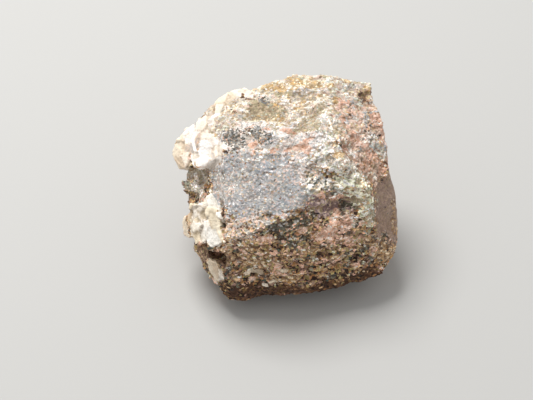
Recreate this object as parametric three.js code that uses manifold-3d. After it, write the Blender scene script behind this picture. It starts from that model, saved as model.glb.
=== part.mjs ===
// A broken hand specimen of thorite-bearing rock: one blocky stone with flat fracture faces,
// a cluster of pale feldspar crystals along its left side, and a small flat spot that it rests on.
// Millimetres, +Z up, +X to the right and +Y away from someone who looks at the grey face.
// The origin is under the middle of the stone, on the surface that it stands on.
import * as THREE from "three";
import { ConvexGeometry } from "three/addons/geometries/ConvexGeometry.js";
import { ImprovedNoise } from "three/addons/math/ImprovedNoise.js";
import { TessellateModifier } from "three/addons/modifiers/TessellateModifier.js";
import { mergeVertices } from "three/addons/utils/BufferGeometryUtils.js";
import Module from "manifold-3d";

const wasm = await Module();
wasm.setup();

// Corners of the main block, where its fracture faces meet. The grey face lies between the
// shoulder and the brow, the front face between the brow and the chin, and the smooth cheek
// is on the right.
const BLOCK = {
  topLeft: [-13, 12.5, 33],
  topBackLeft: [-6.5, 16.5, 34.5],
  topPeak: [2.5, 18.5, 36],
  topBackRight: [11, 18.5, 36],
  topRightCorner: [18.5, 17.5, 34.5],
  shoulderLeft: [-13, 1, 30.5],
  shoulderMiddle: [-4.5, 1, 34.5],
  shoulderRight: [7.5, 3, 35.5],
  browLeft: [-13, -15.5, 20.5],
  browMiddle: [-5, -15, 24],
  browRight: [3, -12.5, 26.5],
  browEnd: [11.5, -9, 27.5],
  paleRidge: [14.5, -5, 29.5],
  cheekFront: [19, -10, 20],
  cheekBack: [19, -3, 26],
  cheekRim: [23.5, 1.5, 20.5],
  cheekBulge: [25, -3, 14],
  cheekLow: [25, -8, 11],
  cheekFoot: [23.5, -11.5, 9.5],
  rightWaist: [22, 1, 25],
  rightBulge: [22, 4, 27.5],
  rightBack: [20, 12.5, 32.5],
  chinEnd: [21.5, -14, 7.5],
  chinRight: [18.5, -15.5, 7],
  chinMiddleRight: [12.5, -17.5, 7],
  chinMiddle: [3.5, -18.5, 5.5],
  chinLeft: [-7.5, -19.5, 4.5],
  chinCorner: [-12.3, -19.6, 4.5],
  jawLeft: [-14.7, -17.7, 6],
  flankFront: [-18.3, -12.5, 9],
  flankMiddle: [-20.8, -4.5, 13],
  flankBack: [-22, 5, 17],
  flankLow: [-20.5, -1, 6],
  flankLowBack: [-20.5, 9, 8],
  flankTop: [-18.5, 13, 26],
  backLeft: [-18, 16, 15],
  backMiddle: [-9, 19, 17],
  backRight: [8, 19.5, 19],
  backCorner: [18, 16, 14],
  underRight: [21, 8, 9],
  underCheek: [21, -6, 4.5],
  footFrontLeft: [-14.5, -8, -0.5],
  footFront: [-3, -11, -0.5],
  footFrontRight: [10, -10, -0.5],
  footRight: [16, -3, -0.5],
  footBackRight: [14, 9, -0.5],
  footBack: [3, 14, -0.5],
  footBackLeft: [-9, 13, -0.5],
  footLeft: [-17, 4, -0.5],
};

// Crystals that stand out of the left side. Each is the hull of its outer corners and of a
// root inside the block.
const CRYSTALS = {
  upperWhite: {
    root: [-8, 5, 22],
    corners: [
      [-19, 0, 26],
      [-13, 1, 29.5],
      [-13, 10.5, 32.5],
      [-17.5, 11, 31],
      [-19, 12.4, 28.4],
      [-21, 7.5, 27],
      [-21.5, 4, 24.5],
    ],
  },
  leftRim: {
    root: [-14, 5, 18],
    corners: [
      [-25, 8, 22],
      [-24.5, 9.5, 23.5],
      [-22, 12, 25.5],
      [-20, 12.5, 27],
      [-20.5, 3.5, 22.5],
      [-23.5, 4.5, 20.5],
      [-23.2, 9, 18],
      [-21, 13.5, 20.5],
    ],
  },
  topLip: {
    root: [-8, 10, 28],
    corners: [
      [-18.2, 12.6, 29.7],
      [-15, 11, 31.5],
      [-14.2, 15, 32.6],
      [-12, 16, 33.8],
      [-9, 17, 34.3],
      [-7, 15.5, 34.7],
      [-9, 18, 31],
      [-15.5, 16, 28.5],
      [-11, 11.5, 33.3],
    ],
  },
  lowerWhite: {
    root: [-10, -8, 14],
    corners: [
      [-17.5, -4.5, 22.5],
      [-14.5, -5.5, 25.5],
      [-13, -8.5, 24.5],
      [-13, -16, 20],
      [-16.5, -15, 17.5],
      [-18, -10, 20],
    ],
  },
  lowerGrey: {
    root: [-12, -6, 13],
    corners: [
      [-21, -4, 18.5],
      [-17.5, -6.5, 22],
      [-17, -13, 17.5],
      [-19.3, -12.5, 14],
      [-21.8, -7.5, 14.5],
    ],
  },
  lowerRim: {
    root: [-14, -4, 12],
    corners: [
      [-23.1, -4.5, 13],
      [-22.6, -3.5, 15],
      [-20.5, -5, 16],
      [-21.2, -9.5, 12.5],
      [-22.8, -7.2, 11],
      [-21.8, -3, 9],
    ],
  },
  greenKnob: {
    root: [-14, 2, 16],
    corners: [
      [-23.5, 2, 18.5],
      [-23, 3, 19.5],
      [-19.5, 0.5, 22],
      [-19, -1.5, 20.5],
      [-22, 0, 18],
      [-22.5, 3, 16],
    ],
  },
};

// Wedges broken out between and below the crystals. Each is the hull of its mouth and its apex.
const NOTCHES = {
  betweenCrystals: {
    apex: [-16, 4, 20],
    mouth: [
      [-23.5, 2.5, 23.5],
      [-17, -1.5, 28],
      [-17, -3.5, 26],
      [-21, -1, 24],
    ],
  },
  underKnob: {
    apex: [-18, 0, 17],
    mouth: [
      [-24, -2, 19],
      [-19.5, -3.5, 23.5],
      [-19.5, -5, 22.5],
      [-24, -3.5, 17.5],
    ],
  },
  underCrystals: {
    apex: [-14, -10.5, 10],
    mouth: [
      [-20, -14.5, 15.5],
      [-13, -17.5, 20],
      [-10, -20, 18.5],
      [-12, -20, 15],
      [-18, -16.5, 13.5],
    ],
  },
};

// Local relief along a short line on the surface: rise is positive for a ridge or a lump and
// negative for a hollow, pit or groove, and reach is how far it spreads to each side.
const RELIEF = [
  { what: "olive hollow", from: [-7, 9, 34.5], to: [0, 7, 35], reach: 4.5, rise: -1.7 },
  { what: "brown pit", from: [3.5, 12, 36], to: [4.5, 12, 36], reach: 3, rise: -1.4 },
  { what: "corner pit", from: [17.5, 14.5, 33.5], to: [18, 13, 33], reach: 3, rise: -1.6 },
  { what: "slanting groove", from: [1.5, 2.5, 35], to: [8, 9, 35.5], reach: 2.4, rise: -1.1 },
  { what: "upper pale ridge", from: [9, 5, 35.5], to: [11.5, -3.5, 31], reach: 2.6, rise: 1 },
  { what: "lower pale ridge", from: [11.5, -3.5, 31], to: [18, -6.5, 24.5], reach: 2.6, rise: 1.1 },
  { what: "recess under the ridge", from: [6, -5.5, 30.5], to: [9.5, -6.5, 29.5], reach: 3, rise: -1 },
  { what: "brown scoop", from: [6.5, -11.5, 26], to: [13, -9.5, 25], reach: 4.5, rise: -1.8 },
  { what: "waist", from: [22, 4, 23], to: [22.5, 5, 20], reach: 4, rise: -1.4 },
  { what: "front lump", from: [-1, -16.5, 18], to: [3, -16, 17], reach: 4, rise: 0.9 },
  { what: "front hollow", from: [-9, -18, 13], to: [-5, -18, 11], reach: 4, rise: -0.9 },
  { what: "chin ledge", from: [-10, -19, 7], to: [6, -18.5, 8.5], reach: 2.6, rise: 0.8 },
  { what: "back lump", from: [-6, 18.5, 24], to: [3, 19, 22], reach: 5.5, rise: 1 },
  { what: "back hollow", from: [-3, 18.5, 12], to: [6, 18, 8], reach: 6.5, rise: -2.2 },
  { what: "back groove", from: [8, 19, 31], to: [16, 17, 18], reach: 3.2, rise: -1.3 },
  { what: "left back scoop", from: [-19, 15, 15], to: [-13, 16, 6], reach: 6, rise: -2.2 },
  { what: "right back scoop", from: [19, 15, 24], to: [18.5, 14, 10], reach: 5, rise: -1.8 },
  { what: "right back ledge", from: [20.5, 9, 21], to: [21.5, 6, 13], reach: 3, rise: 0.9 },
  { what: "flank hollow", from: [-20, -2, 8], to: [-20.5, 5, 9], reach: 4.5, rise: -1.4 },
];

// The rough surface of the breaks: gentle waves and the lumps of the grains.
const ROUGHNESS = [
  { length: 9, height: 0.7 },
  { length: 3.6, height: 0.45 },
];

const LONGEST_EDGE = 2.4;
const SPLIT_ROUNDS = 12;
const MERGE_DISTANCE = 1e-4;
const SLAB = { width: 120, depth: 20 };

function hull(points) {
  return new ConvexGeometry(points.map((p) => new THREE.Vector3(...p)));
}

function merged(geometry) {
  const bare = geometry.clone();
  bare.deleteAttribute("normal");
  bare.deleteAttribute("uv");
  return mergeVertices(bare, MERGE_DISTANCE);
}

function toSolid(geometry) {
  const closed = merged(geometry);
  const vertProperties = closed.attributes.position.array;
  const triVerts = new Uint32Array(closed.index.array);
  return new wasm.Manifold(new wasm.Mesh({ numProp: 3, vertProperties, triVerts }));
}

function toGeometry(solid) {
  const { vertProperties, triVerts } = solid.getMesh();
  return new THREE.BufferGeometry()
    .setAttribute("position", new THREE.BufferAttribute(vertProperties, 3))
    .setIndex(new THREE.BufferAttribute(triVerts, 1));
}

// The block with its crystals joined on and the wedges broken out.
function brokenBlock() {
  let solid = toSolid(hull(Object.values(BLOCK)));
  for (const { root, corners } of Object.values(CRYSTALS)) {
    solid = solid.add(toSolid(hull([root, ...corners])));
  }
  for (const { apex, mouth } of Object.values(NOTCHES)) {
    solid = solid.subtract(toSolid(hull([apex, ...mouth])));
  }
  return toGeometry(solid);
}

const noise = new ImprovedNoise();
const nearest = new THREE.Vector3();

function reliefAt(point) {
  let rise = 0;
  for (const { from, to, reach, rise: height } of RELIEF) {
    const line = new THREE.Line3(new THREE.Vector3(...from), new THREE.Vector3(...to));
    line.closestPointToPoint(point, true, nearest);
    const share = Math.max(0, 1 - nearest.distanceTo(point) / reach);
    rise += height * share * share * (3 - 2 * share);
  }
  for (const { length, height } of ROUGHNESS) {
    rise += height * noise.noise(point.x / length, point.y / length, point.z / length);
  }
  return rise;
}

// Splits the faces into small triangles and moves each vertex in or out along its normal.
function roughened(geometry) {
  const fine = merged(new TessellateModifier(LONGEST_EDGE, SPLIT_ROUNDS).modify(geometry));
  fine.computeVertexNormals();
  const { position, normal } = fine.attributes;
  const point = new THREE.Vector3();
  const outward = new THREE.Vector3();
  for (let i = 0; i < position.count; i++) {
    point.fromBufferAttribute(position, i);
    outward.fromBufferAttribute(normal, i);
    point.addScaledVector(outward, reliefAt(point));
    position.setXYZ(i, point.x, point.y, point.z);
  }
  return fine;
}

// Takes off what lies below the surface that the stone rests on, which leaves the flat spot.
function flattened(geometry) {
  const slab = new THREE.BoxGeometry(SLAB.width, SLAB.width, SLAB.depth);
  slab.translate(0, 0, -SLAB.depth / 2);
  return toGeometry(toSolid(geometry).subtract(toSolid(slab)));
}

function centred(geometry) {
  geometry.computeBoundingBox();
  const middle = geometry.boundingBox.getCenter(new THREE.Vector3());
  return geometry.translate(-middle.x, -middle.y, 0);
}

const rock = new THREE.MeshStandardMaterial({ color: 0x8a7566, roughness: 0.9, metalness: 0 });
const stone = new THREE.Mesh(centred(flattened(roughened(brokenBlock()))), rock);
stone.name = "thorite_specimen";

const specimen = new THREE.Group();
specimen.add(stone);
export default specimen;
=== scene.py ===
# Looks of a hand specimen of thorite-bearing rock: granular rock with pale feldspar crystals
# along its left side. Places and sizes are in millimetres in the part's frame: +Z up, +X to
# the right and +Y away from someone who looks at the grey face.
import math

import bpy
import numpy as np
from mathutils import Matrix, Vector, noise


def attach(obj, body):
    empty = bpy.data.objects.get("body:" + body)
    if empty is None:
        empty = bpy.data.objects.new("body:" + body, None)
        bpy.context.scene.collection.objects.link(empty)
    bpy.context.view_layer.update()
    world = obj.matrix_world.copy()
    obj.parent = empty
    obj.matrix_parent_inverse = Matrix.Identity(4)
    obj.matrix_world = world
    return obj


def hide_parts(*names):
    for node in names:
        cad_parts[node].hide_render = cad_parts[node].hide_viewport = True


MM = 0.001
NODE = "thorite_specimen"

# The highest level of a colour, the middle of a random number and of a random colour, whose parts
# go from 0 to 1, and the least number that a share is divided by.
LEVELS = 255
HALF = 0.5
MIDDLE = (HALF, HALF, HALF)
TINY = 1e-6

# The mix node's sockets for its factor, its two colours and their mix.
MIX_INPUTS = (0, 6, 7)
MIX_OUTPUT = 2

# Where the noise that bends outlines starts, so that every run makes the same stone.
NOISE_SEED = 7

# The even grid that carries the fine relief, the passes that soften the solid's facets, and the
# height over which the relief sets in above the flat spot.
GRID = 0.31
SOFTENING_PASSES = 3
BASE_MARGIN = 0.8

# Sizes of the rock's grains and specks, how much each size of grain adds to the relief, how far
# noise bends the outlines of the grains, the detail of smooth noise, and the squeeze along each
# axis that makes grains, clots and lumps lie along X.
FINE_GRAIN = 0.32
COARSE_GRAIN = 0.42
SPECK = 0.2
GRAIN_WEIGHTS = {"fine": 0.6, "coarse": 1.2}
BEND = {"size": 1.3, "reach": 0.4}
NOISE_DETAIL = 2
LAY = (0.72, 1.0, 1.05)

# Grains of one mineral gather in clusters: their size, and the shares that the cluster and the
# grain's own draw have in the choice of its mineral.
CLUSTER = {"size": 2.0, "share": 0.6, "own": 0.8}

# Blocks of the pale crystals: their size, how they lie, their slopes, and the veins between them,
# with their width as a share of a block's size and their depth as a share of its height.
CRYSTAL_BLOCK = 3.4
CRYSTAL_TURN = (0.35, 0.2, 0.5)
BLOCK_SLOPE = 0.9
VEIN_WIDTH = 0.13
VEIN_DEPTH = 0.5
VEIN_STRENGTH = 0.45

# Colours of the minerals, as they compare with each other.
MINERALS = {
    "white feldspar": "#f6f1e6",
    "cream feldspar": "#eadbbf",
    "pale feldspar": "#dcd3c6",
    "pink feldspar": "#cfb0a0",
    "salmon feldspar": "#c79a84",
    "lilac quartz": "#b5aca8",
    "grey quartz": "#a5a09a",
    "steel quartz": "#989998",
    "green epidote": "#b3b598",
    "olive clay": "#9a8a62",
    "tan crust": "#bda07c",
    "ochre stain": "#c49a62",
    "rust stain": "#a27a55",
    "brown": "#8d745d",
    "mauve": "#8f7468",
    "plum": "#7a6059",
    "umber": "#6e5644",
    "dark brown": "#4f3d30",
    "dark green": "#5a5b50",
    "black thorite": "#3a3531",
}
VEIN_COLOUR = "#b08a5c"

# The two tints that the whole stone drifts between, and the size of the drift.
DRIFT_COLOURS = ("#fff4e6", "#f2f7ff")
DRIFT_SIZE = 6.0

# What each kind of rock is made of: its colour from afar, how far its minerals stand out from
# it, the grain size that shows them, the share of each mineral, mostly from dark to light, the
# height of its grains and of its larger lumps, and its roughness. Crystals also have blocks.
KINDS = {
    "brown": {
        "tone": (169, 142, 114), "contrast": 1.25, "grain": "coarse",
        "mix": {"black thorite": 8, "dark green": 6, "dark brown": 12, "umber": 15, "mauve": 13,
                "olive clay": 11, "rust stain": 9, "brown": 10, "tan crust": 8, "salmon feldspar": 4,
                "pale feldspar": 4},
        "grain_height": 0.15, "lump_height": 0.8, "roughness": 0.8,
    },
    "drab": {
        "tone": (190, 166, 140), "contrast": 1.2, "grain": "coarse",
        "mix": {"dark green": 10, "umber": 16, "olive clay": 14, "brown": 16, "mauve": 10,
                "tan crust": 14, "pink feldspar": 8, "pale feldspar": 12},
        "grain_height": 0.14, "lump_height": 0.6, "roughness": 0.8,
    },
    "shale": {
        "tone": (206, 190, 175), "grain": "fine",
        "mix": {"dark brown": 8, "umber": 12, "grey quartz": 16, "lilac quartz": 20, "tan crust": 10,
                "pink feldspar": 18, "pale feldspar": 16},
        "grain_height": 0.1, "lump_height": 0.4, "roughness": 0.75,
    },
    "umber": {
        "tone": (98, 71, 48), "contrast": 1.2, "grain": "coarse",
        "mix": {"dark brown": 20, "umber": 33, "mauve": 10, "olive clay": 8, "brown": 15,
                "tan crust": 10, "pale feldspar": 4},
        "grain_height": 0.1, "lump_height": 0.35, "roughness": 0.85,
    },
    "shade": {
        "tone": (178, 152, 125), "grain": "coarse",
        "mix": {"dark brown": 15, "umber": 25, "olive clay": 15, "brown": 25, "tan crust": 20},
        "grain_height": 0.15, "lump_height": 0.3, "roughness": 0.9,
    },
    "grey": {
        "tone": (192, 190, 188), "contrast": 0.9, "grain": "fine",
        "mix": {"dark brown": 4, "steel quartz": 16, "grey quartz": 22, "tan crust": 3,
                "lilac quartz": 22, "pink feldspar": 14, "pale feldspar": 11, "white feldspar": 8},
        "grain_height": 0.08, "lump_height": 0.14, "roughness": 0.65,
    },
    "steel": {
        "tone": (185, 186, 188), "grain": "fine",
        "mix": {"dark green": 6, "steel quartz": 28, "grey quartz": 26, "tan crust": 2,
                "lilac quartz": 20, "pale feldspar": 10, "white feldspar": 8},
        "grain_height": 0.08, "lump_height": 0.12, "roughness": 0.6,
    },
    "rosy": {
        "tone": (220, 214, 209), "contrast": 0.5, "grain": "fine",
        "mix": {"dark green": 6, "steel quartz": 12, "grey quartz": 14, "salmon feldspar": 8,
                "lilac quartz": 14, "pink feldspar": 22, "pale feldspar": 14, "white feldspar": 10},
        "grain_height": 0.1, "lump_height": 0.3, "roughness": 0.7,
    },
    "beige": {
        "tone": (209, 199, 182), "contrast": 0.75, "grain": "coarse",
        "mix": {"olive clay": 8, "grey quartz": 10, "tan crust": 22, "pink feldspar": 14,
                "pale feldspar": 22, "cream feldspar": 16, "white feldspar": 8},
        "grain_height": 0.1, "lump_height": 0.35, "roughness": 0.8,
    },
    "peach": {
        "tone": (199, 192, 179), "contrast": 0.75, "grain": "coarse",
        "mix": {"grey quartz": 10, "tan crust": 14, "salmon feldspar": 12, "pink feldspar": 26,
                "pale feldspar": 22, "cream feldspar": 16},
        "grain_height": 0.1, "lump_height": 0.35, "roughness": 0.75,
    },
    "olive": {
        "tone": (179, 169, 145), "contrast": 0.6, "grain": "fine",
        "mix": {"olive clay": 40, "brown": 8, "tan crust": 30, "green epidote": 22},
        "grain_height": 0.06, "lump_height": 0.2, "roughness": 0.85,
    },
    "ochre": {
        "tone": (208, 186, 150), "contrast": 0.8, "grain": "coarse",
        "mix": {"rust stain": 10, "ochre stain": 30, "tan crust": 30, "cream feldspar": 30},
        "grain_height": 0.1, "lump_height": 0.3, "roughness": 0.8,
    },
    "pink": {
        "tone": (208, 188, 172), "contrast": 0.8, "grain": "coarse",
        "mix": {"dark green": 6, "steel quartz": 8, "brown": 10, "salmon feldspar": 24,
                "pink feldspar": 28, "tan crust": 8, "pale feldspar": 16},
        "grain_height": 0.11, "lump_height": 0.4, "roughness": 0.7,
    },
    "salmon": {
        "tone": (238, 206, 185), "grain": "coarse",
        "mix": {"brown": 10, "rust stain": 8, "salmon feldspar": 42, "pink feldspar": 28,
                "pale feldspar": 12},
        "grain_height": 0.12, "lump_height": 0.35, "roughness": 0.7,
    },
    "coral": {
        "tone": (212, 180, 160), "grain": "coarse",
        "mix": {"brown": 8, "rust stain": 8, "salmon feldspar": 44, "pink feldspar": 30,
                "pale feldspar": 10},
        "grain_height": 0.1, "lump_height": 0.35, "roughness": 0.7,
    },
    "pale": {
        "tone": (229, 223, 214), "contrast": 0.8, "grain": "fine",
        "mix": {"olive clay": 6, "green epidote": 18, "grey quartz": 10, "tan crust": 8,
                "pale feldspar": 20, "cream feldspar": 14, "white feldspar": 24},
        "grain_height": 0.12, "lump_height": 0.5, "roughness": 0.7,
    },
    "straw": {
        "tone": (253, 241, 218), "grain": "coarse",
        "mix": {"olive clay": 14, "tan crust": 14, "green epidote": 12, "pale feldspar": 14,
                "cream feldspar": 26, "white feldspar": 20},
        "grain_height": 0.14, "lump_height": 0.6, "roughness": 0.75,
    },
    "pepper": {
        "tone": (206, 200, 188), "grain": "coarse",
        "mix": {"black thorite": 18, "dark green": 18, "steel quartz": 14, "tan crust": 10,
                "pale feldspar": 20, "white feldspar": 20},
        "grain_height": 0.14, "lump_height": 0.7, "roughness": 0.65,
    },
    "black": {
        "tone": (164, 145, 126), "grain": "coarse",
        "mix": {"black thorite": 28, "dark green": 24, "dark brown": 14, "steel quartz": 10,
                "olive clay": 8, "salmon feldspar": 10, "pale feldspar": 6},
        "grain_height": 0.18, "lump_height": 0.7, "roughness": 0.6,
    },
    "dark": {
        "tone": (130, 127, 121), "grain": "fine",
        "mix": {"black thorite": 14, "dark green": 16, "brown": 12, "steel quartz": 20,
                "grey quartz": 16, "pale feldspar": 12, "white feldspar": 10},
        "grain_height": 0.14, "lump_height": 0.3, "roughness": 0.6,
    },
    "plum": {
        "tone": (196, 170, 155), "contrast": 1.5, "grain": "coarse",
        "mix": {"dark brown": 8, "plum": 38, "mauve": 26, "brown": 16, "salmon feldspar": 12},
        "grain_height": 0.1, "lump_height": 0.6, "roughness": 0.75,
    },
    "mauve": {
        "tone": (164, 138, 119), "grain": "fine",
        "mix": {"plum": 12, "mauve": 66, "brown": 22},
        "grain_height": 0.02, "lump_height": 0.14, "roughness": 0.6,
    },
    "tan": {
        "tone": (190, 163, 132), "grain": "coarse",
        "mix": {"umber": 10, "brown": 18, "ochre stain": 12, "tan crust": 30, "cream feldspar": 20,
                "pale feldspar": 10},
        "grain_height": 0.12, "lump_height": 0.4, "roughness": 0.8,
    },
    "green": {
        "tone": (170, 159, 141), "grain": "coarse",
        "mix": {"dark brown": 8, "dark green": 12, "tan crust": 20, "green epidote": 40,
                "pale feldspar": 20},
        "grain_height": 0.12, "lump_height": 0.3, "roughness": 0.75,
    },
    "cream": {
        "tone": (240, 231, 214), "contrast": 0.8, "grain": "block",
        "mix": {"tan crust": 5, "pale feldspar": 12, "cream feldspar": 38, "white feldspar": 45},
        "grain_height": 0.05, "lump_height": 0.08, "roughness": 0.65, "block_height": 0.32,
    },
    "buff": {
        "tone": (242, 229, 210), "contrast": 0.5, "grain": "block",
        "mix": {"tan crust": 8, "cream feldspar": 47, "white feldspar": 45},
        "grain_height": 0.05, "lump_height": 0.08, "roughness": 0.65, "block_height": 0.2,
    },
    "white": {
        "tone": (250, 244, 236), "contrast": 0.4, "grain": "block",
        "mix": {"cream feldspar": 28, "white feldspar": 72},
        "grain_height": 0.03, "lump_height": 0.05, "roughness": 0.5, "block_height": 0.16,
    },
}
BASE_KIND = "brown"

# Where each kind of rock shows: it covers what lies within its reach of a line, with a soft edge
# that noise bends, so a line of little reach only tints the rock. Later lines lie over earlier
# ones, and what no line covers is the base kind.
PATCHES = [
    # the top
    ("beige", (-9, 10, 33), (14, 12, 36), 9.5),
    ("beige", (-4, 4, 34), (9, 4, 35.5), 5),
    ("peach", (12, 14, 35.5), (15.5, 12.5, 34.5), 3.5),
    ("peach", (3, 2, 34), (8, 4, 35), 2.5),
    ("rosy", (-11, 3, 32), (5, 0, 33.5), 4.0),
    ("olive", (-6, 10, 33), (-0.5, 8.7, 34.2), 2.1),
    ("dark", (-4.7, 11.7, 34.2), (-4, 11.5, 34.3), 0.8),
    ("ochre", (-2.1, 10.8, 34.8), (-1.7, 10.6, 34.9), 0.7),
    ("ochre", (-6.5, 8, 32.7), (-1, 7.2, 33.5), 0.5),
    ("pale", (-0.2, 10.3, 35), (2, 6.3, 34.2), 1.1),
    ("ochre", (-3.8, 15.8, 35), (-0.5, 14.8, 35.4), 1.3),
    ("ochre", (2, 15.5, 36), (7, 15.3, 36), 1.3),
    ("olive", (4, 3.9, 34.3), (6.5, 3.9, 35.2), 1.2),
    ("olive", (-3.2, 4.6, 34.6), (-2.2, 3.2, 34.8), 0.6),
    ("pale", (0.7, 13.2, 35.8), (5, 13.4, 35.8), 0.9),
    ("olive", (2, 2.9, 34.2), (8, 9, 35.2), 0.7),
    ("peach", (16.5, 16, 34.6), (18.7, 16, 34), 1.3),
    ("shade", (16.8, 14.4, 33.3), (18.6, 14.2, 32.9), 1.1),
    ("dark", (-11.8, 4.4, 31.9), (-10.1, 1.2, 32.3), 1.8),
    ("dark", (-9, 3.9, 32.8), (-8, 3.5, 33.2), 0.7),
    ("dark", (-5.9, 2.7, 34.1), (-4.1, 0.8, 34.6), 1.6),
    # the grey face
    ("grey", (-12.2, -5, 27.4), (0, -8, 29.6), 5.8),
    ("grey", (-7.5, -3.5, 30.7), (1, -5.4, 31.3), 2.6),
    ("grey", (-7.5, -11.6, 25.5), (-2.2, -10.6, 27.6), 3.0),
    ("steel", (-10.7, -10.2, 25.4), (-5.8, -9, 27.4), 2.2),
    ("steel", (-7, -4.5, 30), (-3, -5.2, 30.8), 1.3),
    ("rosy", (3.2, -3.3, 32.2), (5.3, -7.9, 29.4), 2.0),
    # the right side
    ("pink", (13, 8.4, 34.5), (17.4, 6.7, 32.2), 3.6),
    ("pink", (16.2, 5, 32.5), (18.8, 2, 29.4), 4.0),
    ("pink", (14.4, 0, 31.6), (18.8, -1.4, 27.4), 3.6),
    ("pink", (20, 11, 29), (22, 5, 24), 4.5),
    ("tan", (17.9, 10.1, 32.5), (18.9, 4, 30), 0.3),
    ("peach", (19.3, 3.7, 29.7), (21, 1.9, 27.5), 1.5),
    ("pale", (9.2, 5.3, 36), (10.4, 0.6, 34.8), 1.5),
    ("pale", (8.5, -2, 33.2), (13.4, -5.6, 30.9), 2.5),
    ("peach", (11.5, -2.5, 33.3), (13.5, -5, 31), 1.3),
    ("peach", (5.7, -8.5, 29.1), (12.1, -8, 27.8), 1.5),
    ("pale", (6, -4.4, 31.8), (10.5, -4.8, 31.4), 1.5),
    ("pepper", (4.8, -6.9, 29.7), (10, -7.4, 28.4), 1.3),
    ("straw", (11.2, -6.1, 30.2), (13.8, -7.4, 27.7), 1.2),
    ("straw", (13, -7.2, 28.4), (15.2, -8.6, 24.2), 1.3),
    ("plum", (6.4, -10.2, 26.1), (12.2, -9.2, 23.2), 2.5),
    ("straw", (15.6, -6, 28.7), (18.5, -9.8, 21.3), 2.0),
    ("pale", (13.5, -10.7, 22), (14.8, -11.2, 21.3), 0.9),
    ("mauve", (22, -3.8, 21.2), (22.6, -9.3, 14.1), 4.2),
    ("mauve", (24.5, 0, 20), (24.5, -3, 12), 5.0),
    ("mauve", (24, 4, 20), (22.5, 10, 12), 5.5),
    ("tan", (22, 9, 7), (19, 14, 12), 2.4),
    ("tan", (24, -3.1, 18.6), (24.3, -7, 13), 0.6),
    ("black", (21.9, -10, 14.6), (23.3, -9.9, 12.4), 1.0),
    ("tan", (20.3, -12.5, 13), (23.1, -11.8, 10.6), 1.9),
    # the front
    ("drab", (-12.8, -16, 20.7), (-6.4, -17.6, 15.1), 3.8),
    ("shale", (-12.2, -13.4, 23), (-5.2, -13.8, 24.6), 1.3),
    ("shale", (-11.7, -15.1, 21.7), (-7.9, -15.6, 22.4), 1.2),
    ("black", (-3.6, -15.3, 24), (3.2, -13.5, 23.8), 1.7),
    ("black", (0, -15.8, 20.5), (3.6, -16, 19), 1.6),
    ("drab", (0.6, -17, 18.9), (19, -12.8, 14), 1.2),
    ("umber", (-11.5, -17, 15.8), (3.3, -17.2, 14.7), 0.1),
    ("umber", (3.3, -17.2, 14.7), (20, -13.7, 10.8), 0.2),
    ("salmon", (7.5, -14.5, 19.5), (12.5, -11.7, 20.9), 1.9),
    ("salmon", (10, -14.6, 18.6), (17, -12.6, 16.8), 0.7),
    ("black", (10.3, -10.8, 22.8), (12, -10.5, 22.4), 0.7),
    ("ochre", (15.8, -12.1, 18.3), (16.5, -12.4, 16.6), 0.7),
    ("buff", (-9, -17.8, 11.6), (-4.5, -17.2, 10.4), 0.3),
    ("buff", (-0.8, -17.9, 13.2), (0.2, -18, 12.9), 0.3),
    ("umber", (-9, -16.5, 1.5), (16, -13.5, 1.5), 3.2),
    ("umber", (-7.6, -19.6, 6.4), (9.9, -18.6, 5.8), 2.7),
    ("umber", (9.9, -18.6, 5), (19.5, -14.5, 7), 3),
    ("umber", (-12.3, -18.6, 7), (-9, -19.5, 6), 2.4),
    ("buff", (-3.9, -18.6, 8.7), (-1.9, -18.9, 8.7), 0.35),
    # the back and the left flank
    ("beige", (-11, 17, 29), (12, 17, 30), 3.6),
    ("drab", (-9, 18, 24), (4, 19, 19), 5.5),
    ("pink", (8, 18, 25), (15, 16, 17), 4.8),
    ("rosy", (-5, 18, 12), (5, 17, 8), 4.2),
    ("plum", (-15, 13, 11), (-9, 16, 6), 3.6),
    ("pale", (9, 18, 31), (1, 19, 21), 1.0),
    ("black", (-12, 16, 21), (-7, 18, 17), 1.3),
    ("drab", (-20, -1, 10), (-18, 6, 6), 3.8),
    ("pink", (-19, 8, 13), (-16, 11, 7), 2.6),
    ("white", (-18.5, 13.5, 25), (-17, 14.5, 18), 1.9),
    ("buff", (-20, 11, 19), (-19, 11.5, 14), 1.6),
    # the crystals on the left
    ("buff", (-24.2, 6.5, 21.5), (-22, 11, 25.2), 4.0),
    ("white", (-20.2, 8.6, 27.8), (-16.4, 2.7, 28.4), 4.0),
    ("white", (-17.5, 9, 30), (-15.2, 11.3, 31.4), 2.2),
    ("white", (-20.7, 6.6, 26.8), (-17.9, 1.4, 27.5), 2.4),
    ("white", (-15.6, 1.2, 27), (-14.5, -0.2, 28.4), 1.5),
    ("buff", (-13.9, 13.8, 32.4), (-8.6, 14.5, 34), 1.9),
    ("umber", (-9.1, 13.7, 34), (-8.7, 13.5, 34), 0.4),
    ("beige", (-21.4, 5.3, 18.3), (-17.8, 0.4, 22), 2.1),
    ("green", (-22.1, 1.5, 19.3), (-20.3, -0.4, 20.2), 1.4),
    ("pale", (-18.7, 0.5, 21), (-18.5, -2.9, 19.2), 1.4),
    ("cream", (-16.6, -7.4, 22.6), (-15.4, -13.6, 19.9), 2.6),
    ("cream", (-19.5, -6.0, 19.7), (-18.8, -10.6, 16.8), 2.7),
    ("buff", (-22.1, -5.1, 14.2), (-21.4, -7.9, 12.8), 1.8),
    ("shade", (-18.1, -12, 11.2), (-12.5, -16.5, 14.5), 1.8),
    ("buff", (-15.8, -15.5, 11.1), (-14.9, -16.8, 9.7), 1.7),
]
PATCH_EDGE = 1.1
PATCH_BENDS = ({"size": 5.0, "reach": 0.9}, {"size": 1.6, "reach": 0.7})

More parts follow.
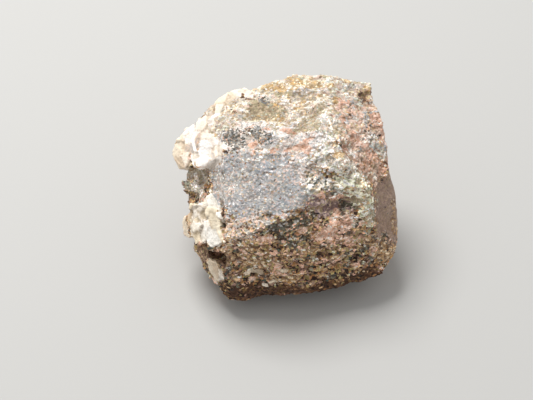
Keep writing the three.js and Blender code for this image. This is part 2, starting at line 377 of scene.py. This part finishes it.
# Clots of one kind of rock that are scattered through others: their size, and about the share of
# those others that they take up. Each row reads the noise in a place of its own.
CLOTS = [
    ("salmon", ("brown", "black", "drab", "plum"), 2.2, 0.13),
    ("tan", ("brown", "drab"), 2.4, 0.12),
    ("black", ("brown", "drab", "plum"), 1.6, 0.12),
    ("straw", ("brown", "drab"), 0.9, 0.08),
    ("coral", ("pink",), 3.2, 0.38),
    ("coral", ("rosy",), 2.0, 0.14),
    ("grey", ("pink",), 2.2, 0.07),
    ("ochre", ("beige", "peach"), 2.0, 0.08),
    ("pale", ("beige", "rosy", "pink", "peach"), 1.5, 0.12),
    ("olive", ("beige", "pale", "straw"), 1.8, 0.1),
]
CLOT_EDGE = 0.1
CLOT_SHIFT = 10

# Sizes of the lumps and creases of the broken faces. The layers of noise in the lumps have a
# fall in strength, a step in size and a count.
LUMP_SIZE = 3.0
LUMP_LAYERS = (0.7, 2.0, 4)
CREASE_SIZE = 2.6

# Narrow grooves: cracks, ledges and the gaps beside the crystals, with their width and depth.
GROOVES = [
    ((-13.7, -8, 24.5), (-13.3, -13, 22.2), 0.45, 0.9),
    ((-13.3, -13, 22.2), (-13.2, -16.2, 18.3), 0.45, 0.9),
    ((-20.2, -6, 19.4), (-17.2, -6.6, 20.6), 0.3, 0.5),
    ((-17.6, -7, 21.5), (-17.2, -12, 18.5), 0.35, 0.5),
    ((-14.5, 1.5, 29.6), (-14.2, 6, 30.6), 0.4, 0.3),
    ((-2.9, -5, 31.2), (-2.2, -5.1, 31.2), 0.25, 0.35),
    ((-4.4, -5.9, 30.5), (-3.4, -5.8, 30.5), 0.25, 0.35),
    ((5.7, -12, 23.4), (8, -12, 23), 0.35, 0.5),
    ((17, -10.5, 20), (19, -10.2, 19.8), 0.35, 0.5),
]
GROOVE_BEND = {"size": 1.2, "reach": 0.5}

# How deep a full hollow is, the smoothing passes that hollows are measured against, the dirt and
# painted shade that darken them, how far wear and a painted highlight lighten edges, and how far
# specks differ in lightness.
HOLLOW_DEPTH = 0.12
HOLLOW_PASSES = 10
DIRT_AND_SHADE = {"colour": "#a89274", "rock": 0.5, "crystal": 0.35}
WEAR_AND_HIGHLIGHT = 0.2
SPECKLE = {"rock": 0.6, "crystal": 0.2}

# How gradually a grain goes over to the next kind of rock, the draw above which a grain glints
# and what that adds to its roughness, and the fine bumps.
KIND_EDGE = 0.08
GLINT = {"above": 0.85, "roughness": -0.3}
BUMP = {"strength": 0.7, "depth": 0.12}

# The viewpoint and the lights.
CAMERA = {"elevation": 50, "distance": 380, "nearest": 10, "lens": 116.5, "aim": (-3.96, -1.51, 16.76)}
KEY_LIGHT = {"towards": (-0.25, 0.4, 0.88), "distance": 600, "size": 320, "power": 3.9}
SKY = {"colour": (0.97, 0.972, 0.975), "strength": 0.62}
FLOOR = {"width": 4000, "colour": "#b9b8b5", "roughness": 0.9}


def linear(shares):
    """Linear colour of sRGB shares from 0 to 1."""
    return [s / 12.92 if s <= 0.04045 else ((s + 0.055) / 1.055) ** 2.4 for s in shares]


def hex_colour(code):
    return linear([level / LEVELS for level in bytes.fromhex(code[1:])])


def settle(piece):
    """Applies what the piece's modifiers do to its mesh."""
    depsgraph = bpy.context.evaluated_depsgraph_get()
    mesh = bpy.data.meshes.new_from_object(piece.evaluated_get(depsgraph))
    piece.modifiers.clear()
    piece.data = mesh


def even_copy(source):
    """A copy of the solid on an even fine grid, with its facets softened."""
    piece = bpy.data.objects.new("rock", source.data.copy())
    bpy.context.collection.objects.link(piece)
    grid = piece.modifiers.new("grid", "REMESH")
    grid.mode = "VOXEL"
    grid.voxel_size = GRID * MM
    soften = piece.modifiers.new("soften", "SMOOTH")
    soften.iterations = SOFTENING_PASSES
    settle(piece)
    return piece


def points_of(mesh):
    """The mesh's vertices in millimetres."""
    values = np.empty(len(mesh.vertices) * 3)
    mesh.vertices.foreach_get("co", values)
    return values.reshape(-1, 3) / MM


def normals_of(mesh):
    values = np.empty(len(mesh.vertices) * 3)
    mesh.vertex_normals.foreach_get("vector", values)
    return values.reshape(-1, 3)


def place_points(mesh, points):
    mesh.vertices.foreach_set("co", (points * MM).ravel())
    mesh.update()


def keep(mesh, name, values):
    """Stores one number, or one vector, for each vertex."""
    kind = "FLOAT" if values.ndim == 1 else "FLOAT_VECTOR"
    attribute = mesh.attributes.new(name, kind, "POINT")
    attribute.data.foreach_set("value" if values.ndim == 1 else "vector", values.ravel())


def bent(points, size, reach):
    """Points moved about by smooth noise."""
    return points + reach * np.array([noise.noise_vector(Vector(p / size)) for p in points])


def distance_to_line(points, start, end):
    start, end = np.array(start, float), np.array(end, float)
    along = end - start
    share = np.clip((points - start) @ along / (along @ along), 0, 1)
    return np.linalg.norm(points - start - share[:, None] * along, axis=1)


def smooth_step(values):
    values = np.clip(values, 0, 1)
    return values * values * (3 - 2 * values)


def soft_cover(inside, edge):
    """1 well inside an outline and 0 well outside it, with a soft edge of the given half width."""
    return smooth_step(0.5 + inside / (2 * edge))


def shares_of_kinds(points):
    """How much of each kind of rock there is at each point; the shares add up to 1."""
    shares = {kind: np.zeros(len(points)) for kind in KINDS}
    shares[BASE_KIND] += 1
    places = points
    for bend in PATCH_BENDS:
        places = bent(places, **bend)
    for kind, start, end, reach in PATCHES:
        cover = soft_cover(reach - distance_to_line(places, start, end), PATCH_EDGE)
        for other in shares:
            shares[other] *= 1 - cover
        shares[kind] += cover
    for number, (kind, hosts, size, share) in enumerate(CLOTS):
        scattered = points * LAY / size + CLOT_SHIFT * number
        value = np.array([noise.noise(Vector(p)) for p in scattered])
        cover = soft_cover(value - np.quantile(value, 1 - share), CLOT_EDGE)
        for host in hosts:
            changed = shares[host] * cover
            shares[host] -= changed
            shares[kind] += changed
    return shares


def mixed(shares, quality):
    return sum(share * KINDS[kind].get(quality, 0) for kind, share in shares.items())


def shape_and_sort(piece):
    """Raises the lumps of the rock, cuts its grooves, and stores which kinds of rock are where."""
    mesh = piece.data
    points = points_of(mesh)
    shares = shares_of_kinds(points)
    lumps = np.array([noise.fractal(Vector(p), *LUMP_LAYERS) for p in points * LAY / LUMP_SIZE])
    lumps += np.abs([noise.noise(Vector(p)) for p in points * LAY / CREASE_SIZE])
    lumps -= lumps.mean()
    free = smooth_step(points[:, 2] / BASE_MARGIN)
    rise = mixed(shares, "lump_height") * lumps
    places = bent(points, **GROOVE_BEND)
    for start, end, width, depth in GROOVES:
        rise -= depth * np.exp(-(distance_to_line(places, start, end) / width) ** 2)
    keep(mesh, "rest", points)
    for quality in ("grain_height", "block_height"):
        keep(mesh, quality, free * mixed(shares, quality))
    keep(mesh, "roughness", mixed(shares, "roughness"))
    crystals = [share for kind, share in shares.items() if "block_height" in KINDS[kind]]
    keep(mesh, "crystal", sum(crystals))
    below = np.zeros(len(points))
    for kind, share in shares.items():
        below += share
        keep(mesh, f"layer_{kind}", share / np.maximum(below, TINY))
    place_points(mesh, points + normals_of(mesh) * (free * rise)[:, None])


def add(tree, kind, inputs=None, **settings):
    """A node with its settings, and with its inputs set or linked."""
    node = tree.nodes.new(kind)
    for name, value in settings.items():
        setattr(node, name, value)
    for name, value in (inputs or {}).items():
        if isinstance(value, bpy.types.NodeSocket):
            tree.links.new(value, node.inputs[name])
        else:
            node.inputs[name].default_value = value
    return node


def maths(tree, operation, *values, clamp=False):
    node = add(tree, "ShaderNodeMath", dict(enumerate(values)), operation=operation, use_clamp=clamp)
    return node.outputs[0]


def between(tree, share, first, second, clamp=False):
    """A number that goes from the first to the second as the share goes from 0 to 1."""
    return maths(tree, "MULTIPLY_ADD", share, second - first, first, clamp=clamp)


def vector_maths(tree, operation, *values):
    node = add(tree, "ShaderNodeVectorMath", dict(enumerate(values)), operation=operation)
    return node.outputs["Value" if operation == "DOT_PRODUCT" else "Vector"]


def parts_of(tree, vector):
    return add(tree, "ShaderNodeSeparateXYZ", {0: vector}).outputs


def noise_at(tree, place, size):
    """Smooth noise of the given size."""
    return add(tree, "ShaderNodeTexNoise", {"Vector": place, "Scale": 1 / size, "Detail": NOISE_DETAIL})


def voronoi_gap(tree, place, size, **settings):
    """A Voronoi texture, and how far each place is from the border of its cell."""
    inputs = {"Vector": place, "Scale": 1 / size}
    first = add(tree, "ShaderNodeTexVoronoi", inputs, feature="F1", **settings)
    second = add(tree, "ShaderNodeTexVoronoi", inputs, feature="F2", **settings)
    return first, maths(tree, "SUBTRACT", second.outputs["Distance"], first.outputs["Distance"])


def line_at_border(tree, gap, width):
    """1 at the border of a cell, and 0 where the gap is wider than the width."""
    return maths(tree, "SUBTRACT", 1, maths(tree, "DIVIDE", gap, width), clamp=True)


def rock_texture(tree, place):
    """Nodes that say, for a place on the rock, which grain and which crystal block it is in."""
    wander = noise_at(tree, place, BEND["size"])
    centred = vector_maths(tree, "SUBTRACT", wander.outputs["Color"], MIDDLE)
    bent_place = vector_maths(tree, "MULTIPLY_ADD", centred, (2 * BEND["reach"],) * 3, place)
    lying = vector_maths(tree, "MULTIPLY", bent_place, LAY)
    cluster = noise_at(tree, lying, CLUSTER["size"])
    start = (1 - CLUSTER["own"] - CLUSTER["share"]) / 2
    drawn = maths(tree, "MULTIPLY_ADD", cluster.outputs[0], CLUSTER["share"], start)
    texture = {}
    for name, size in {"fine": FINE_GRAIN, "coarse": COARSE_GRAIN, "speck": SPECK}.items():
        cells = add(tree, "ShaderNodeTexVoronoi", {"Vector": lying, "Scale": 1 / size})
        chance, level, side = parts_of(tree, cells.outputs["Color"])
        mineral = maths(tree, "MULTIPLY_ADD", chance, CLUSTER["own"], drawn, clamp=True)
        texture[name] = {"chance": mineral, "level": level, "side": side,
                         "distance": cells.outputs["Distance"]}
    turned = add(tree, "ShaderNodeVectorRotate", {"Vector": bent_place, "Rotation": CRYSTAL_TURN},
                 rotation_type="EULER_XYZ").outputs[0]
    block, gap = voronoi_gap(tree, turned, CRYSTAL_BLOCK, distance="CHEBYCHEV")
    colour = block.outputs["Color"]
    slope = vector_maths(tree, "SUBTRACT", colour, MIDDLE)
    offset = vector_maths(tree, "SUBTRACT", turned, block.outputs["Position"])
    tilt = maths(tree, "MULTIPLY", vector_maths(tree, "DOT_PRODUCT", slope, offset), BLOCK_SLOPE)
    level, side, chance = parts_of(tree, colour)
    height = maths(tree, "ADD", maths(tree, "SUBTRACT", level, HALF), tilt)
    # only the higher half of the blocks have veins
    split = between(tree, level, -1, 1, clamp=True)
    vein = maths(tree, "MULTIPLY", line_at_border(tree, gap, VEIN_WIDTH), split)
    texture["block"] = {"height": height, "vein": vein, "chance": chance, "side": side}
    return texture


def raise_grains(piece):
    """Raises or sinks each grain and each crystal block by its own amount."""
    tree = bpy.data.node_groups.new("grains", "GeometryNodeTree")
    tree.interface.new_socket("Geometry", in_out="INPUT", socket_type="NodeSocketGeometry")
    tree.interface.new_socket("Geometry", in_out="OUTPUT", socket_type="NodeSocketGeometry")

    def stored(name, data_type):
        node = add(tree, "GeometryNodeInputNamedAttribute", {"Name": name}, data_type=data_type)
        return node.outputs[0]

    texture = rock_texture(tree, stored("rest", "FLOAT_VECTOR"))
    heights = []
    for name, weight in GRAIN_WEIGHTS.items():
        cell = texture[name]
        dome = maths(tree, "MULTIPLY", cell["distance"], cell["distance"])
        level = maths(tree, "SUBTRACT", between(tree, cell["level"], -1, 1), dome)
        heights.append(maths(tree, "MULTIPLY", level, weight))
    grains = maths(tree, "MULTIPLY", maths(tree, "ADD", *heights), stored("grain_height", "FLOAT"))
    block = texture["block"]
    step = maths(tree, "SUBTRACT", block["height"], maths(tree, "MULTIPLY", block["vein"], VEIN_DEPTH))
    blocks = maths(tree, "MULTIPLY", step, stored("block_height", "FLOAT"))
    rise = maths(tree, "MULTIPLY", maths(tree, "ADD", grains, blocks), MM)
    normal = add(tree, "GeometryNodeInputNormal").outputs[0]
    offset = add(tree, "ShaderNodeVectorMath", {0: normal, "Scale": rise}, operation="SCALE")
    source = add(tree, "NodeGroupInput")
    places = {"Geometry": source.outputs[0], "Offset": offset.outputs[0]}
    moved = add(tree, "GeometryNodeSetPosition", places)
    add(tree, "NodeGroupOutput", {0: moved.outputs[0]})
    piece.modifiers.new("grains", "NODES").node_group = tree
    settle(piece)


def finish_surface(piece):
    """Keeps the flat spot flat, and stores how hollow the surface is at each vertex."""
    mesh = piece.data
    points = points_of(mesh)
    points[:, 2] = np.maximum(points[:, 2], 0)
    place_points(mesh, points)
    ends = np.empty(len(mesh.edges) * 2, int)
    mesh.edges.foreach_get("vertices", ends)
    here = np.concatenate((ends[0::2], ends[1::2]))
    there = np.concatenate((ends[1::2], ends[0::2]))
    neighbours = np.bincount(here)
    smooth = points
    for _ in range(HOLLOW_PASSES):
        sums = [np.bincount(here, smooth[there, axis]) for axis in range(3)]
        smooth = np.stack(sums, axis=1) / neighbours[:, None]
    depth = np.einsum("ij,ij->i", smooth - points, normals_of(mesh))
    keep(mesh, "hollow", np.clip(depth / HOLLOW_DEPTH, -1, 1))


def ramp_of(tree, chance, made):
    """The minerals of a kind of rock, each over its share of the chances, around its tone."""
    mix = made["mix"]
    shares = np.array(list(mix.values())) / sum(mix.values())
    colours = np.array([hex_colour(MINERALS[mineral]) for mineral in mix])
    tone = np.array(linear([level / LEVELS for level in made["tone"]]))
    colours *= tone / (shares @ colours)
    colours = np.clip(tone + made.get("contrast", 1) * (colours - tone), 0, 1)
    ramp = add(tree, "ShaderNodeValToRGB", {"Fac": chance})
    ramp.color_ramp.interpolation = "CONSTANT"
    elements = ramp.color_ramp.elements
    starts = np.cumsum(shares) - shares
    for i, start in enumerate(starts):
        stop = elements[i] if i < len(elements) else elements.new(start)
        stop.position = start
        stop.color = (*colours[i], 1)
    return ramp.outputs["Color"]


def blended(tree, factor, first, second, blend_type="MIX"):
    inputs = dict(zip(MIX_INPUTS, (factor, first, second)))
    node = add(tree, "ShaderNodeMix", inputs, data_type="RGBA", blend_type=blend_type)
    return node.outputs[MIX_OUTPUT]


def shaded(tree, colour, brightness):
    """A colour made lighter or darker by a brightness node."""
    grey = add(tree, "ShaderNodeCombineXYZ", {axis: brightness for axis in range(3)}).outputs[0]
    return blended(tree, 1.0, colour, grey, "MULTIPLY")


def rock_colour(tree, texture, stored):
    """The colour of the rock: its minerals, grain by grain, with veins and stains, hollows darkened by
    dirt and painted shade, and edges lightened by wear and a painted highlight.
    """
    colour = None
    for kind, made in KINDS.items():
        cell = texture[made["grain"]]
        minerals = ramp_of(tree, cell["chance"], made)
        if colour is None:
            colour = minerals
            continue
        ahead = maths(tree, "SUBTRACT", stored(f"layer_{kind}", "Fac"), cell["side"])
        edge = add(tree, "ShaderNodeMapRange", {"Value": ahead, "From Min": 0.0, "From Max": KIND_EDGE})
        colour = blended(tree, edge.outputs[0], colour, minerals)
    crystal = stored("crystal", "Fac")
    strength = maths(tree, "MULTIPLY", crystal, VEIN_STRENGTH)
    vein = maths(tree, "MULTIPLY", texture["block"]["vein"], strength)
    colour = blended(tree, vein, colour, (*hex_colour(VEIN_COLOUR), 1))
    drift = noise_at(tree, stored("rest", "Vector"), DRIFT_SIZE)
    tints = [(*hex_colour(code), 1) for code in DRIFT_COLOURS]
    tint = blended(tree, drift.outputs[0], *tints)
    colour = blended(tree, 1.0, colour, tint, "MULTIPLY")
    # painted shade: hollows are darkened towards the dirt colour, partly for dirt and partly for the
    # shade that falls in them
    hollow = stored("hollow", "Fac")
    most_dirt_and_shade = between(tree, crystal, DIRT_AND_SHADE["rock"], DIRT_AND_SHADE["crystal"])
    dirt_and_shade = maths(tree, "MULTIPLY", maths(tree, "MAXIMUM", hollow, 0), most_dirt_and_shade)
    colour = blended(tree, dirt_and_shade, colour, (*hex_colour(DIRT_AND_SHADE["colour"]), 1), "MULTIPLY")
    # painted highlight: edges that stand out are lightened, partly for wear and partly for the light
    # that catches them
    wear_and_highlight = maths(tree, "MULTIPLY_ADD", maths(tree, "MINIMUM", hollow, 0), -WEAR_AND_HIGHLIGHT, 1)
    spread = between(tree, crystal, SPECKLE["rock"], SPECKLE["crystal"])
    centred = maths(tree, "SUBTRACT", texture["speck"]["level"], HALF)
    speckle = maths(tree, "MULTIPLY_ADD", centred, spread, 1)
    return shaded(tree, colour, maths(tree, "MULTIPLY", speckle, wear_and_highlight))


def rock_material():
    material = bpy.data.materials.new("rock")
    material.use_nodes = True
    tree = material.node_tree
    shader = tree.nodes["Principled BSDF"]

    def stored(name, output):
        return add(tree, "ShaderNodeAttribute", attribute_name=name).outputs[output]

    texture = rock_texture(tree, stored("rest", "Vector"))
    colour = rock_colour(tree, texture, stored)
    tree.links.new(colour, shader.inputs["Base Color"])
    glints = maths(tree, "GREATER_THAN", texture["fine"]["side"], GLINT["above"])
    roughness = maths(tree, "MULTIPLY_ADD", glints, GLINT["roughness"], stored("roughness", "Fac"))
    tree.links.new(roughness, shader.inputs["Roughness"])
    height = maths(tree, "ADD", texture["speck"]["level"], texture["fine"]["level"])
    inputs = {"Strength": BUMP["strength"], "Distance": BUMP["depth"] * MM, "Height": height}
    bump = add(tree, "ShaderNodeBump", inputs)
    tree.links.new(bump.outputs[0], shader.inputs["Normal"])
    return material


def make_rock(source):
    piece = even_copy(source)
    shape_and_sort(piece)
    raise_grains(piece)
    finish_surface(piece)
    piece.data.materials.clear()
    piece.data.materials.append(rock_material())
    piece.data.shade_smooth()
    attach(piece, "root")
    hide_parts(NODE)


def make_floor():
    half = FLOOR["width"] * MM / 2
    corners = [(-half, -half, 0), (half, -half, 0), (half, half, 0), (-half, half, 0)]
    mesh = bpy.data.meshes.new("floor")
    mesh.from_pydata(corners, [], [range(len(corners))])
    floor = bpy.data.objects.new("floor", mesh)
    bpy.context.collection.objects.link(floor)
    material = bpy.data.materials.new("floor")
    material.use_nodes = True
    shader = material.node_tree.nodes["Principled BSDF"]
    shader.inputs["Base Color"].default_value = (*hex_colour(FLOOR["colour"]), 1)
    shader.inputs["Roughness"].default_value = FLOOR["roughness"]
    mesh.materials.append(material)


def make_camera():
    lean = math.radians(CAMERA["elevation"])
    back = Vector((0, -math.cos(lean), math.sin(lean)))
    camera = bpy.data.objects.new("camera", bpy.data.cameras.new("camera"))
    camera.data.lens = CAMERA["lens"]
    camera.data.clip_start = CAMERA["nearest"] * MM
    camera.location = (Vector(CAMERA["aim"]) + back * CAMERA["distance"]) * MM
    camera.rotation_euler = (-back).to_track_quat("-Z", "Y").to_euler()
    bpy.context.collection.objects.link(camera)
    bpy.context.scene.camera = camera


def make_lights():
    key = bpy.data.objects.new("key light", bpy.data.lights.new("key light", "AREA"))
    key.data.shape = "DISK"
    key.data.size = KEY_LIGHT["size"] * MM
    key.data.energy = KEY_LIGHT["power"]
    towards = Vector(KEY_LIGHT["towards"]).normalized()
    key.location = (Vector(CAMERA["aim"]) + towards * KEY_LIGHT["distance"]) * MM
    key.rotation_euler = (-towards).to_track_quat("-Z", "Y").to_euler()
    bpy.context.collection.objects.link(key)
    world = bpy.data.worlds.new("sky")
    world.use_nodes = True
    sky = world.node_tree.nodes["Background"]
    sky.inputs["Color"].default_value = (*SKY["colour"], 1)
    sky.inputs["Strength"].default_value = SKY["strength"]
    bpy.context.scene.world = world


noise.seed_set(NOISE_SEED)
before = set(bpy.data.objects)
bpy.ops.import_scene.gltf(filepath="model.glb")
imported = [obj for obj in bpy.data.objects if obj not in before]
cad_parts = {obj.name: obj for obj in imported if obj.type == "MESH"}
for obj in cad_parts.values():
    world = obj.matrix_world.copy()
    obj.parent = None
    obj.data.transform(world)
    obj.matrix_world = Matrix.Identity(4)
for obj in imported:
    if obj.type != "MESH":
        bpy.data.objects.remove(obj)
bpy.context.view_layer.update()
bpy.context.scene.view_settings.view_transform = "Standard"
make_camera()
make_lights()
make_floor()
make_rock(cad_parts[NODE])
